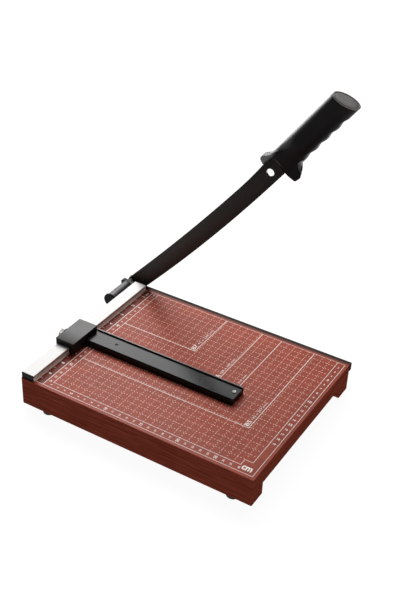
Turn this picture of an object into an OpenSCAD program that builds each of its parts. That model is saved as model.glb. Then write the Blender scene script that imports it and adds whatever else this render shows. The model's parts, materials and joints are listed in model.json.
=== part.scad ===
// Guillotine paper trimmer, in millimetres.
// A wooden base board on two runners, a steel bed knife along its rear edge,
// a hinged cutter blade with a two-shell handle, and a gauge arm that slides
// on a side rail and locks with a knurled screw.
// Row frame: +X along the cut, away from the pivot; +Y towards the blade; +Z up.
// The origin is on the floor, at the centre of the whole outline seen from above.

/* [Base board] */
// Length of the board along the cut
base_len = 323; // [321:1:326]
// Depth of the board across the cut
base_dep = 250; // [246:1:254]
// Thickness of the top panel
board_t = 22; // [20:0.5:24]
// Height of the two runners under the panel
runner_h = 16.5; // [15:0.5:18]
// Width of the front runner
front_runner_w = 25; // [24:1:30]
// Width of the rear runner
rear_runner_w = 24; // [23:1:30]

/* [Feet] */
// Height of a rubber foot
foot_h = 6.5; // [5.5:0.5:8]
// Radius of a rubber foot where it meets the runner
foot_r = 8.5; // [7.5:0.5:9]

/* [Bed knife] */
// Thickness of the bed knife
knife_t = 4.5; // [4:0.25:4.5]
// Height of the bed knife
knife_h = 10.5; // [9:0.5:14]
// Gap between the blade's face and the bed knife at the board's surface
knife_gap = 0.3; // [0.3:0.05:0.5]

/* [Stop rail] */
// Width of the rail
rail_w = 17.6; // [17:0.1:17.6]
// Height of the rail
rail_h = 8; // [7:0.5:8]

/* [Cutter blade] */
// Thickness of the blade
blade_t = 2.5; // [2:0.25:2.5]
// Angle of the raised blade at rest, above the closed position
blade_open = 48; // [30:1:60]
// Angle that the blade's plane leans over the board
blade_lean = 4; // [3:0.5:5]
// Radius of the blade's cutting edge
edge_r = 2947; // [2900:1:3000]
// Radius of the hanging hole near the handle
hang_r = 5.4; // [4:0.1:6]

/* [Pivot] */
// Radius of the pivot bolt
bolt_r = 3; // [2.5:0.25:3.25]
// Radial clearance of the blade on the bolt
bolt_clear = 0.05; // [0.02:0.01:0.08]

/* [Handle] */
// Half height of the grip's oval section
grip_a = 16; // [14.5:0.1:16]
// Half width of the grip's oval section
grip_b = 10.9; // [10:0.1:11]
// Angle of the grip to the blade
grip_ang = 5.2; // [4:0.1:6]
// Depth of the finger grooves
groove_d = 1.6; // [1:0.1:2]

/* [Gauge] */
// Distance from the cut line to the arm's far edge
gauge_v = 131; // [60:1:150]
// Reach of the gauge arm over the board
arm_len = 221; // [150:1:240]

/* [Hidden] */
$fn = 48;

// Construction frame: u along the cut from the rail's inner face, v from the
// cut line towards the front, z from the board's top surface.
u0 = -19;                 // board's left end
u1 = u0 + base_len;       // board's right end
v0 = 0.5 + 4.5;           // board's rear face
v1 = v0 + base_dep;       // board's front face
zb = -board_t;            // underside of the panel
zr = zb - runner_h;       // underside of the runners
floor_z = zr - foot_h;

// Hinge: a point on the axis where it crosses the blade's front face
pu = -30.1;
pz = -0.5;
pv = 0.5 - knife_gap + pz*tan(blade_lean);

// from the construction frame to the row frame: the outline runs from the
// housing's cap to the bed knife's end, and from the board's front to the bolt's head
ox = -((pu - 10.4) + (u1 + 0.6))/2;
oy = (v1 - blade_t - 5.56)/2;
module place() translate([ox, oy, -floor_z]) children();
// box from its u, v and z limits
module uvz(ua, ub, va, vb, za, zc)
  translate([ua, -vb, za]) cube([ub - ua, vb - va, zc - za]);
// frame of the hinge: z along the axis towards the front, x along the board
module hinge_frame() translate([pu, -pv, pz]) rotate([90 + blade_lean, 0, 0]) children();
// frame of the raised blade: x along it from the hinge, y up to its back edge
module blade_frame() hinge_frame() rotate([0, 0, blade_open]) children();
// frame of the grip: x along its axis
module grip_frame() blade_frame() rotate([0, 0, grip_ang]) children();

// polygon corners rounded by the third number of each point
function unit(v) = v/norm(v);
function xy(p) = [p[0], p[1]];
function corner(p, q, s, n = 6) = q[2] <= 0 ? [xy(q)] :
  let(a = unit(xy(p) - xy(q)), b = unit(xy(s) - xy(q)), h = acos(a*b)/2,
      c = xy(q) + unit(a + b)*q[2]/sin(h),
      e0 = xy(q) + a*q[2]/tan(h) - c, e1 = xy(q) + b*q[2]/tan(h) - c,
      t0 = atan2(e0[1], e0[0]), t1 = atan2(e1[1], e1[0]), d = t1 - t0,
      dd = d > 180 ? d - 360 : d < -180 ? d + 360 : d)
  [for (i = [0:n]) let(t = t0 + dd*i/n) c + q[2]*[cos(t), sin(t)]];
function rounded(P) = let(N = len(P))
  [for (i = [0:N - 1]) each corner(P[(i + N - 1) % N], P[i], P[(i + 1) % N])];

// countersunk screw: head flush at z = 0, shank along -z
module csk(d, l, g = 0) {
  translate([0, 0, -0.55*d]) cylinder(h = 0.55*d, r1 = d/2 + g, r2 = d + g);
  translate([0, 0, -l]) cylinder(h = l - 0.55*d + 0.01, r = d/2 + g);
  translate([0, 0, -l - d/2]) cylinder(h = d/2 + 0.001, r1 = 0.3 + g, r2 = d/2 + g);
}
module cross_slot(w, l, h) {
  translate([-l/2, -w/2, -h]) cube([l, w, h + 1]);
  translate([-w/2, -l/2, -h]) cube([w, l, h + 1]);
}
module csk_screw(d, l) difference() { csk(d, l); cross_slot(0.9, 1.15*d, 0.3*d); }
// pan head screw: head above z = 0, shank along -z
module pan(d, l, hr, hh) difference() {
  union() {
    cylinder(h = hh, r1 = hr, r2 = 0.8*hr);
    translate([0, 0, -l]) cylinder(h = l + 0.01, r = d/2);
  }
  translate([0, 0, hh]) cross_slot(0.9, 1.1*hr, 0.45*hh);
}

// screw places
knife_su = [-8, 70, 148, 226, u1 - 14];
runner_su = [48, (u0 + u1)/2, u1 - 67];
fr_v = v1 - front_runner_w/2;
rr_v = v0 + rear_runner_w/2;
foot_p = [[u0 + 33.5, v1 - 10], [u1 - 29, v1 - 10], [u0 + 33.5, v0 + 11.5], [u1 - 29, v0 + 11.5]];
rail_sv = [62, 134, 214];
rail_su = -9.8;
br_p = [[24, -15.5], [40, -15.5], [19, -29]];

module runner_bores(g) {
  for (u = runner_su, v = [fr_v, rr_v])
    translate([u, -v, zr]) rotate([180, 0, 0]) csk(3.6, 30, g);
}
module bracket_bores(g)
  for (p = br_p) translate([u0, -p[0], p[1]]) rotate([0, 90, 0])
    translate([0, 0, -3.2]) cylinder(h = 22.2, r = 1.9 + g);
module knife_bores(g)
  for (u = knife_su) translate([u, -0.5, -knife_h/2]) rotate([-90, 0, 0]) csk(3.4, 24, g);
module rail_bores(g)
  for (v = rail_sv) translate([rail_su, -v, zb]) rotate([180, 0, 0]) csk(3.4, board_t + 4.6, g);
module foot_bores(g)
  for (p = foot_p) translate([p[0], -p[1], zr - 1]) cylinder(h = 12.5, r = 1.7 + g);

// ---- base ----
module base_panel() color([0.60, 0.30, 0.26]) place() difference() {
  translate([0, 0, zb]) linear_extrude(board_t)
    polygon(rounded([[u0, -v1, 1.5], [u1, -v1, 1.5], [u1, -v0, 0.5], [u0, -v0, 0.5]]));
  runner_bores(0.05);
  bracket_bores(0.05);
  knife_bores(0.05);
  rail_bores(0.05);
}
module front_runner() color([0.36, 0.14, 0.10]) place() difference() {
  translate([0, 0, zr]) linear_extrude(runner_h)
    polygon(rounded([[u0, -v1, 1.5], [u1, -v1, 1.5], [u1, -v1 + front_runner_w, 0.5], [u0, -v1 + front_runner_w, 0.5]]));
  runner_bores(0.05);
  foot_bores(0.05);
}
module rear_runner() color([0.36, 0.14, 0.10]) place() difference() {
  translate([0, 0, zr]) linear_extrude(runner_h)
    polygon(rounded([[u0, -v0 - rear_runner_w, 0.5], [u1, -v0 - rear_runner_w, 0.5], [u1, -v0, 0.5], [u0, -v0, 0.5]]));
  runner_bores(0.05);
  foot_bores(0.05);
  bracket_bores(0.05);
}
module runner_screws() color([0.55, 0.55, 0.53]) place()
  for (u = runner_su, v = [fr_v, rr_v])
    translate([u, -v, zr]) rotate([180, 0, 0]) csk_screw(3.6, 30);

module rubber_feet() color([0.06, 0.06, 0.06]) place()
  for (p = foot_p) translate([p[0], -p[1], floor_z]) difference() {
    union() {
      cylinder(h = 1, r1 = foot_r - 1.2, r2 = foot_r - 0.5);
      translate([0, 0, 1]) cylinder(h = foot_h - 1, r1 = foot_r - 0.5, r2 = foot_r);
    }
    translate([0, 0, -1]) cylinder(h = 4.2, r = 4.6);
    cylinder(h = foot_h + 1, r = 1.8);
  }
module foot_screws() color([0.62, 0.62, 0.60]) place()
  for (p = foot_p) translate([p[0], -p[1], floor_z + 3.2]) rotate([180, 0, 0])
    pan(3.4, foot_h - 3.2 + 11, 3.6, 2);

// ---- bed knife ----
module bed_knife() color([0.16, 0.14, 0.13]) place() difference() {
  uvz(u0, u1 + 0.6, 0.5, 0.5 + knife_t, -knife_h, 0);
  knife_bores(0.05);
}
module bed_knife_screws() color([0.45, 0.45, 0.44]) place()
  for (u = knife_su) translate([u, -0.55, -knife_h/2]) rotate([-90, 0, 0])
    rotate([0, 0, 45]) csk_screw(3.4, 23.9);

// ---- stop rail ----
rail_u0 = -1 - rail_w;
module stop_rail() color([0.93, 0.93, 0.91]) place() difference() {
  uvz(rail_u0, -1, 10.5, v1 - 2.5, 0, rail_h);
  uvz(rail_u0 + 1.6, -12.4, 9, v1, -1, rail_h - 1.5);
  uvz(-7.2, -2.6, 9, v1, -1, rail_h - 1.5);
  rail_bores(0.05);
}
module rail_end_cap() color([0.05, 0.05, 0.05]) place() union() {
  uvz(rail_u0 - 0.1, -0.8, v1 - 2.5, v1 - 1.4, 0, rail_h + 0.2);
  uvz(rail_u0 + 1.65, -12.45, v1 - 9, v1 - 2.4, 0, rail_h - 1.55);
  uvz(-7.15, -2.65, v1 - 9, v1 - 2.4, 0, rail_h - 1.55);
}
module rail_screws() color([0.55, 0.55, 0.53]) place()
  for (v = rail_sv) translate([rail_su, -v, zb]) rotate([180, 0, 0]) csk_screw(3.4, board_t + 4.5);

// ---- pivot ----
ear_n0 = 7.7;    // rear face of the bracket's ear, along the hinge axis
ear_n1 = 13;     // its front face
module pivot_bracket() color([0.09, 0.09, 0.09]) place() difference() {
  union() {
    hinge_frame() translate([0, 0, ear_n0]) linear_extrude(ear_n1 - ear_n0)
      polygon(rounded([[11.1, 5.2, 0], [-7.6, 7.4, 3.4], [-10.2, 5.0, 2.4], [-10.2, -12, 8], [-4, -26, 9], [11.1, -30, 0]]));
    uvz(u0 - 3, u0, ear_n0 + 0.4, 47, -34, -10);
    uvz(u0 - 3, u0, ear_n0 + 1, 14.2, -34, 3.4);
  }
  hinge_frame() translate([0, 0, ear_n0 - 3]) cylinder(h = 12, r = bolt_r + bolt_clear);
  for (p = br_p) translate([u0 - 5, -p[0], p[1]]) rotate([0, 90, 0]) cylinder(h = 8, r = 1.95);
}
module bracket_screws() color([0.5, 0.5, 0.49]) place()
  for (p = br_p) translate([u0 - 3, -p[0], p[1]]) rotate([0, -90, 0]) pan(3.8, 21.8, 3.8, 2.2);
module pivot_bolt() color([0.42, 0.42, 0.41]) place() hinge_frame() union() {
  translate([0, 0, -blade_t - 1.35 - 4]) rotate([0, 0, 15]) cylinder(h = 4, r = 5.7, $fn = 6);
  translate([0, 0, -blade_t - 1.4]) cylinder(h = 50 + blade_t + 1.4, r = bolt_r);
}
module pivot_washer() color([0.62, 0.62, 0.60]) place() hinge_frame()
  translate([0, 0, -blade_t - 1.35]) difference() {
    cylinder(h = 1.25, r = 7.5);
    translate([0, 0, -1]) cylinder(h = 4, r = bolt_r + bolt_clear);
  }
module pivot_spacer() color([0.58, 0.56, 0.50]) place() hinge_frame()
  translate([0, 0, 0.1]) difference() {
    cylinder(h = ear_n0 - 0.1, r = 5);
    translate([0, 0, -1]) cylinder(h = 12, r = bolt_r + bolt_clear);
  }
module spring_seat() color([0.55, 0.55, 0.53]) place() hinge_frame()
  translate([0, 0, ear_n1]) difference() {
    cylinder(h = 1.4, r = 5.9);
    translate([0, 0, -1]) cylinder(h = 4, r = bolt_r + bolt_clear);
  }
// compression spring swept along its helix
sp_n = 14.4; sp_len = 27.6; sp_r = 4.7; sp_w = 0.7; sp_turns = 7; sp_seg = 18; sp_sides = 8;
function sp_z(k) = let(t = k/(sp_turns*sp_seg)) sp_w + (sp_len - 2*sp_w)*
  (t < 1/sp_turns ? 0.055*t*sp_turns : t > 1 - 1/sp_turns ? 1 - 0.055*(1 - t)*sp_turns :
   0.055 + 0.89*(t - 1/sp_turns)/(1 - 2/sp_turns));
module pivot_spring() color([0.7, 0.7, 0.68]) place() hinge_frame() translate([0, 0, sp_n]) {
  N = sp_turns*sp_seg;
  pts = [for (k = [0:N], j = [0:sp_sides - 1]) let(a = 360*k/sp_seg, b = 360*j/sp_sides,
    r = sp_r + sp_w*cos(b)) [r*cos(a), r*sin(a), sp_z(k) + sp_w*sin(b)]];
  side = [for (k = [0:N - 1], j = [0:sp_sides - 1]) let(j1 = (j + 1) % sp_sides)
    [k*sp_sides + j, k*sp_sides + j1, (k + 1)*sp_sides + j1, (k + 1)*sp_sides + j]];
  polyhedron(pts, concat(side, [[for (j = [sp_sides - 1:-1:0]) j]], [[for (j = [0:sp_sides - 1]) N*sp_sides + j]]));
}
module pivot_nut() color([0.6, 0.6, 0.58]) place() hinge_frame()
  translate([0, 0, sp_n + sp_len]) difference() {
    union() {
      cylinder(h = 1.2, r = 5.9);
      translate([0, 0, 1.1]) cylinder(h = 4.4, r = 5.7, $fn = 6);
    }
    translate([0, 0, -1]) cylinder(h = 8, r = bolt_r + 0.02);
  }
module spring_housing() color([0.10, 0.10, 0.10]) place() hinge_frame()
  translate([0, 0, ear_n1]) difference() {
    union() {
      cylinder(h = 38, r1 = 7.4, r2 = 9.05);
      cylinder(h = 1.2, r = 7.9);
    }
    translate([0, 0, -1]) cylinder(h = 41, r = 5.95);
    translate([0, 0, 29]) cylinder(h = 12, r = 7.2);
  }
module housing_cap() color([0.07, 0.07, 0.07]) place() hinge_frame()
  translate([0, 0, ear_n1 + 38]) union() {
    cylinder(h = 2.4, r = 10.4);
    translate([0, 0, 2.4]) cylinder(h = 0.8, r1 = 10.4, r2 = 9.6);
    difference() {
      translate([0, 0, -1.8]) cylinder(h = 1.9, r = 7.15);
      translate([0, 0, -3]) cylinder(h = 2.9, r = 5.8);
    }
  }

// ---- cutter blade ----
e_cs = 70; e_low = -17.8;           // lowest point of the cutting edge
back_r = 3987; e_bs = 46; e_up = 6.35;  // the back edge, rising faster from e_rise on
e_rise = 240; e_top = 17.3;
function low_w(s, g = 0) = e_low + edge_r - sqrt(pow(edge_r + g, 2) - pow(s - e_cs, 2));
function up_w(s, g = 0) = min(e_top + g, e_up + back_r - sqrt(pow(back_r - g, 2) - pow(s - e_bs, 2)) + 5e-6*pow(max(0, s - e_rise), 3));
// point of the grip frame given in the blade frame
function gp(t, h) = [t*cos(grip_ang) - h*sin(grip_ang), t*sin(grip_ang) + h*cos(grip_ang)];
g_h = -24.75;                        // grip axis, in the grip frame
tail_r = (up_w(0) - low_w(0))/2;
tail_c = (up_w(0) + low_w(0))/2;
function blade_outline(g = 0) = concat(
  [for (i = [1:15]) let(a = 90 + 180*i/16) [0 + (tail_r + g)*cos(a), tail_c + (tail_r + g)*sin(a)]],
  [for (i = [0:40]) let(s = 338*i/40) [s, low_w(s, g)]],
  rounded([concat(gp(350, g_h - 8 - g), 0), concat(gp(432 + g, g_h - 8 - g), 5), concat(gp(432 + g, g_h + 8 + g), 5), concat(gp(350, g_h + 8 + g), 0)]),
  [for (i = [40:-1:0]) let(s = 332*i/40) [s, up_w(s, g)]]);
hang_p = [314.6, 4.6];
tang_t = [358, 388, 420];
module cutter_blade() color([0.15, 0.13, 0.12]) place() blade_frame() difference() {
  translate([0, 0, -blade_t]) linear_extrude(blade_t) polygon(blade_outline());
  translate([0, 0, -blade_t - 1]) cylinder(h = blade_t + 2, r = bolt_r + bolt_clear);
  translate([hang_p[0], hang_p[1], -blade_t - 1]) cylinder(h = blade_t + 2, r = hang_r);
  for (t = tang_t) translate(concat(gp(t, g_h), -blade_t - 1)) cylinder(h = blade_t + 2, r = 2.1);
}

// ---- handle ----
mid_n = -blade_t/2;
cap_t = 459.3; cap_ang = 17.4; cap_h = 2.2;
module oval(a, b, t0, t1) translate([t0, g_h, mid_n]) rotate([90, 0, 90])
  linear_extrude(t1 - t0) polygon([for (i = [0:47]) [a*cos(7.5*i), b*sin(7.5*i)]]);
// everything beyond the slanted end face, moved back by d
module beyond(d) translate([cap_t, g_h, 0]) rotate([0, 0, cap_ang])
  translate([-d, -60, -60]) cube([80, 120, 120]);
guard_pts = rounded([[335.4, -5.4, 0], [336.4, -10.5, 5], [339.4, -20.0, 3.2], [349.2, -20.3, 3.6],
  [353.4, -11.0, 8], [358.6, -4.6, 6], [366, -5.5, 0], [366, 12, 0], [352, 21.6, 0], [341, 20.9, 8], [331, 22.2, 8],
  [322.5, 26.8, 3], [317.2, 26.2, 2.6], [318.2, 17.0, 1.4], [334.2, 17.0, 0]]);
module handle_solid() difference() {
  union() {
    translate([0, 0, mid_n - 7.25]) linear_extrude(14.5) polygon(guard_pts);
    rotate([0, 0, grip_ang]) oval(grip_a, grip_b, 343, 480);
  }
  rotate([0, 0, grip_ang]) {
    beyond(cap_h);
    for (t = [376, 396.3, 416.6, 436.9]) translate([t, g_h - grip_a - 14 + groove_d, -40]) cylinder(h = 80, r = 14);
  }
}
module handle_hollow() {
  rotate([0, 0, grip_ang]) oval(grip_a - 3, grip_b - 2.6, 350, 480);
  translate([0, 0, -blade_t - 0.05]) linear_extrude(blade_t + 0.1) polygon(blade_outline(0.1));
}
module shell_screw_axes() rotate([0, 0, grip_ang]) for (t = tang_t) translate([t, g_h, 0]) children();
module handle_front_shell() color([0.10, 0.09, 0.09]) place() blade_frame() difference() {
  union() {
    difference() {
      intersection() {
        handle_solid();
        translate([250, -80, mid_n]) cube([300, 160, 40]);
      }
      handle_hollow();
    }
    shell_screw_axes() translate([0, 0, 0.05]) cylinder(h = 8.6, r = 4.2);
  }
  shell_screw_axes() translate([0, 0, -1]) cylinder(h = 7.5, r = 1.75);
}
module handle_rear_shell() color([0.10, 0.09, 0.09]) place() blade_frame() difference() {
  union() {
    difference() {
      intersection() {
        handle_solid();
        translate([250, -80, mid_n - 40]) cube([300, 160, 40]);
      }
      handle_hollow();
    }
    shell_screw_axes() translate([0, 0, -blade_t - 0.05 - 8.6]) cylinder(h = 8.6, r = 4.6);
  }
  shell_screw_axes() {
    translate([0, 0, -20]) cylinder(h = 20, r = 1.85);
    translate([0, 0, -20]) cylinder(h = 20 - blade_t - 3.5, r = 3.3);
  }
}
module handle_screws() color([0.5, 0.5, 0.49]) place() blade_frame()
  shell_screw_axes() translate([0, 0, -blade_t - 3.55]) rotate([180, 0, 0]) pan(3.4, 11, 3.1, 2);
module handle_end_cap() color([0.30, 0.28, 0.27]) place() blade_frame() rotate([0, 0, grip_ang]) union() {
  intersection() {
    oval(grip_a, grip_b, 440, 480);
    difference() { beyond(cap_h); beyond(0); }
  }
  difference() {
    intersection() {
      oval(grip_a - 3.05, grip_b - 2.65, 440, 480);
      difference() { beyond(10); beyond(cap_h - 0.1); }
    }
    oval(grip_a - 5, grip_b - 4.6, 430, 450.5);
  }
}

// ---- gauge ----
gv0 = gauge_v + 2.5;    // slider's far edge
gv1 = gv0 + 49.5;       // slider's near edge
lock_v = gauge_v + 28.5;
lock_z = 5;
module gauge_slider() color([0.28, 0.27, 0.26]) place() difference() {
  union() {
    uvz(-20.9, 6.1, gv0, gv1, rail_h + 0.3, 16);
    uvz(-20.9, -18.9, gv0, gv1, 6, rail_h + 0.4);
    uvz(-0.7, 6.1, gv0, gv1, 0.5, rail_h + 0.4);
    translate([-25, -lock_v, lock_z]) rotate([0, 90, 0]) cylinder(h = 5, r = 8);
    uvz(-20.9, -18.9, lock_v - 7.4, lock_v + 7.4, 0.5, 7);
  }
  uvz(-17, -2.2, gv0 + 2.4, gv1 - 2.4, 7, 13.6);
  uvz(-1, 6.2, gauge_v + 3.9, gauge_v + 26.1, 0, 8.55);
  translate([-40, -lock_v, lock_z]) rotate([0, 90, 0]) cylinder(h = 30, r = 2.05);
  uvz(-40, -10, lock_v - 12, lock_v + 12, -10, 0.5);
  for (v = [9, 21]) translate([2.8, -gauge_v - v, 6]) cylinder(h = 8, r = 1.35);
}
arm_prof = rounded([[27, 0.5, 0], [27, 8.5, 2.2], [3.3, 8.5, 0], [3.3, 7.6, 0], [2, 7.6, 0], [2, 10.5, 0.3], [0, 10.5, 0.3],
  [0, 0.5, 0], [1.6, 0.5, 0], [1.6, 6.3, 0.5], [25.2, 6.3, 0.8], [25.2, 0.5, 0]]);
rivet_p = [44.7, gauge_v + 13.4];
end_p = [215.4, gauge_v + 12.6];
module gauge_arm() color([0.26, 0.25, 0.25]) place() difference() {
  union() {
    translate([6.15, -gauge_v, 0]) rotate([90, 0, 90]) mirror([1, 0, 0]) linear_extrude(arm_len - 6.15) polygon(arm_prof);
    uvz(arm_len - 2, arm_len, gauge_v + 0.5, gauge_v + 26.3, 0.5, 8);
    uvz(-0.4, 7, gauge_v + 4, gauge_v + 26, 6.3, 8.5);
    uvz(-0.4, 7, gauge_v + 4, gauge_v + 6, 0.5, 8.5);
    uvz(-0.4, 7, gauge_v + 24, gauge_v + 26, 0.5, 8.5);
  }
  for (v = [9, 21]) translate([2.8, -gauge_v - v, 0]) cylinder(h = 12, r = 1.65);
  translate([rivet_p[0], -rivet_p[1], 0]) cylinder(h = 12, r = 1.55);
  translate([end_p[0], -end_p[1], 0]) cylinder(h = 12, r = 1.75);
}
module gauge_arm_screws() color([0.55, 0.55, 0.53]) place()
  for (v = [9, 21]) translate([2.8, -gauge_v - v, 6.3]) rotate([180, 0, 0]) pan(2.6, 7, 2.4, 1.6);
module arm_rivet() color([0.12, 0.12, 0.12]) place() translate([rivet_p[0], -rivet_p[1], 0]) union() {
  translate([0, 0, 8.5]) cylinder(h = 0.5, r1 = 2.2, r2 = 1.5);
  translate([0, 0, 2]) cylinder(h = 6.6, r = 1.5);
  translate([0, 0, 1.6]) cylinder(h = 0.9, r = 2.6);
}
module arm_end_screw() color([0.78, 0.77, 0.75]) place() translate([end_p[0], -end_p[1], 8.5]) union() {
  pan(3.4, 5.4, 2.7, 1.1);
}
module glide_pads() color([0.55, 0.53, 0.50]) place() difference() {
  for (p = [rivet_p, end_p]) translate([p[0], -p[1], 0.4]) cylinder(h = 5.9, r = p[0] > 100 ? 3.4 : 6);
  translate([rivet_p[0], -rivet_p[1], 0]) { cylinder(h = 12, r = 1.55); translate([0, 0, 0.3]) cylinder(h = 2.2, r = 2.65); }
  translate([end_p[0], -end_p[1], 2.5]) cylinder(h = 12, r = 1.75);
}
module lock_screw() color([0.80, 0.80, 0.78]) place()
  translate([-25.3, -lock_v, lock_z]) rotate([0, -90, 0]) union() {
    translate([0, 0, -6.35]) cylinder(h = 6.4, r = 2);
    linear_extrude(5.2) polygon([for (i = [0:79]) let(r = i % 2 == 0 ? 6.8 : 6.4) [r*cos(4.5*i), r*sin(4.5*i)]]);
    translate([0, 0, 5.2]) cylinder(h = 0.8, r1 = 6.3, r2 = 5.4);
  }

base_panel();
front_runner();
rear_runner();
runner_screws();
rubber_feet();
foot_screws();
bed_knife();
bed_knife_screws();
stop_rail();
rail_end_cap();
rail_screws();
pivot_bracket();
bracket_screws();
pivot_bolt();
pivot_washer();
pivot_spacer();
spring_seat();
pivot_spring();
pivot_nut();
spring_housing();
housing_cap();
cutter_blade();
handle_front_shell();
handle_rear_shell();
handle_end_cap();
handle_screws();
gauge_slider();
gauge_arm();
gauge_arm_screws();
arm_rivet();
arm_end_screw();
glide_pads();
lock_screw();
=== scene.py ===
import bpy, bmesh, json, math
import numpy as np
from mathutils import Vector, Matrix

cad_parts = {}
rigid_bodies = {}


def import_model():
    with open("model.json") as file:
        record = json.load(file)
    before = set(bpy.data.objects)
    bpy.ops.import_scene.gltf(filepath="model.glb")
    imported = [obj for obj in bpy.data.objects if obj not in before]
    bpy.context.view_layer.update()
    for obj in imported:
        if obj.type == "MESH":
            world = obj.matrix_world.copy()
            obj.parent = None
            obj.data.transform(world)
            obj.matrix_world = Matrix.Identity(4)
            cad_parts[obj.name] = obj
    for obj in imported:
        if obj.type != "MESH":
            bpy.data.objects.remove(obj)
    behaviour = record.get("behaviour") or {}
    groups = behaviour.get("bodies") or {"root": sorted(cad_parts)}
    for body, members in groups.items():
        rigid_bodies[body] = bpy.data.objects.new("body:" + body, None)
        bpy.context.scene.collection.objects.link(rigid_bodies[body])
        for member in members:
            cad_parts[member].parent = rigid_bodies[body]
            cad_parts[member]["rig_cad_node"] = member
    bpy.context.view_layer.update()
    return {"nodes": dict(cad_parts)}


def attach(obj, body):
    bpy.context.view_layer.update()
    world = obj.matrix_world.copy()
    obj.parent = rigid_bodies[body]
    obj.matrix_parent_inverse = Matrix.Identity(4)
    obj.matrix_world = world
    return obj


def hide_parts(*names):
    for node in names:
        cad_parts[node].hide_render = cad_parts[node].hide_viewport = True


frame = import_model()
nodes = frame["nodes"]
scene = bpy.context.scene
rad = math.radians

# ---------------------------------------------------------------- frames
# board frame, in mm: x along the cut from the rail's inner face (u), y towards the
# blade (minus v), z up from the board's surface
BOARD = Matrix.Translation((-132.05, 123.47, 45.0))
LEAN, OPEN, GRIP_ANG = 4.0, 48.0, 5.2
PU, PZ = -30.1, -0.5
PV = 0.2 + PZ * math.tan(rad(LEAN))
HINGE = BOARD @ Matrix.Translation((PU, -PV, PZ)) @ Matrix.Rotation(rad(90 + LEAN), 4, "X")
BLADE = HINGE @ Matrix.Rotation(rad(OPEN), 4, "Z")
GRIP = BLADE @ Matrix.Rotation(rad(GRIP_ANG), 4, "Z")


def metres(m):
    m = m.copy()
    m.translation = m.translation * 0.001
    return m


# ---------------------------------------------------------------- mesh helpers
def obj_from(name, verts, faces, M=BOARD):
    me = bpy.data.meshes.new(name)
    me.from_pydata([tuple(float(c) * 0.001 for c in v) for v in verts], [], [list(map(int, f)) for f in faces])
    me.update()
    ob = bpy.data.objects.new(name, me)
    scene.collection.objects.link(ob)
    ob.matrix_world = metres(M)
    return ob


def corners(P, n=5):
    """polygon whose corners are rounded by each point's third number"""
    out, N = [], len(P)
    for i, q in enumerate(P):
        r = q[2] if len(q) > 2 else 0
        if r <= 0:
            out.append((q[0], q[1]))
            continue
        q2 = np.array(q[:2], float)
        a = np.array(P[(i - 1) % N][:2], float) - q2
        b = np.array(P[(i + 1) % N][:2], float) - q2
        a /= np.linalg.norm(a)
        b /= np.linalg.norm(b)
        h = math.acos(max(-1, min(1, float(a @ b)))) / 2
        m = a + b
        c = q2 + m / np.linalg.norm(m) * r / math.sin(h)
        e0, e1 = q2 + a * r / math.tan(h) - c, q2 + b * r / math.tan(h) - c
        t0, t1 = math.atan2(e0[1], e0[0]), math.atan2(e1[1], e1[0])
        d = (t1 - t0 + math.pi) % (2 * math.pi) - math.pi
        for k in range(n + 1):
            t = t0 + d * k / n
            out.append((c[0] + r * math.cos(t), c[1] + r * math.sin(t)))
    return out


def prism(name, poly, h0, h1, M=BOARD, axes="xyz"):
    """polygon extruded from h0 to h1; axes says where (p, q, extrusion) go"""
    idx = ["xyz".index(c) for c in axes]
    area = sum(poly[i][0] * poly[(i + 1) % len(poly)][1] - poly[(i + 1) % len(poly)][0] * poly[i][1] for i in range(len(poly)))
    if area < 0:
        poly = poly[::-1]
    n = len(poly)
    vs = []
    for h in (h0, h1):
        for p, q in poly:
            v = [0, 0, 0]
            v[idx[0]], v[idx[1]], v[idx[2]] = p, q, h
            vs.append(v)
    fs = [list(range(n))[::-1], list(range(n, 2 * n))] + [[i, (i + 1) % n, n + (i + 1) % n, n + i] for i in range(n)]
    ob = obj_from(name, vs, fs, M)
    outward(ob)
    return ob


def outward(ob):
    bm = bmesh.new()
    bm.from_mesh(ob.data)
    bmesh.ops.recalc_face_normals(bm, faces=bm.faces)
    bm.to_mesh(ob.data)
    bm.free()


def lathe(name, prof, M, n=96, axis="z"):
    """profile of (radius, height) pairs turned about the z axis; closed at both ends"""
    vs, fs, rings = [], [], []
    for r, h in prof:
        if r < 1e-6:
            rings.append([len(vs)])
            vs.append((0, 0, h))
        else:
            rings.append(list(range(len(vs), len(vs) + n)))
            vs += [(r * math.cos(2 * math.pi * k / n), r * math.sin(2 * math.pi * k / n), h) for k in range(n)]
    for a, b in zip(rings, rings[1:]):
        for k in range(n):
            k1 = (k + 1) % n
            if len(a) == 1 and len(b) == 1:
                break
            if len(a) == 1:
                fs.append([a[0], b[k1], b[k]])
            elif len(b) == 1:
                fs.append([a[k], a[k1], b[0]])
            else:
                fs.append([a[k], a[k1], b[k1], b[k]])
    if len(rings[0]) > 1 and len(rings[-1]) > 1:      # a ring: join last to first
        a, b = rings[-1], rings[0]
        fs += [[a[k], a[(k + 1) % n], b[(k + 1) % n], b[k]] for k in range(n)]
    ob = obj_from(name, vs, fs, M)
    outward(ob)
    return ob


def bake(ob):
    """applies the object's modifiers"""
    dg = bpy.context.evaluated_depsgraph_get()
    me = bpy.data.meshes.new_from_object(ob.evaluated_get(dg))
    ob.modifiers.clear()
    old = ob.data
    ob.data = me
    bpy.data.meshes.remove(old)
    return ob


def cut(ob, *cutters, op="DIFFERENCE"):
    for c in cutters:
        m = ob.modifiers.new("b", "BOOLEAN")
        m.operation, m.solver, m.object = op, "EXACT", c
    bpy.context.view_layer.update()
    bake(ob)
    for c in cutters:
        bpy.data.objects.remove(c)
    return ob


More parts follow.
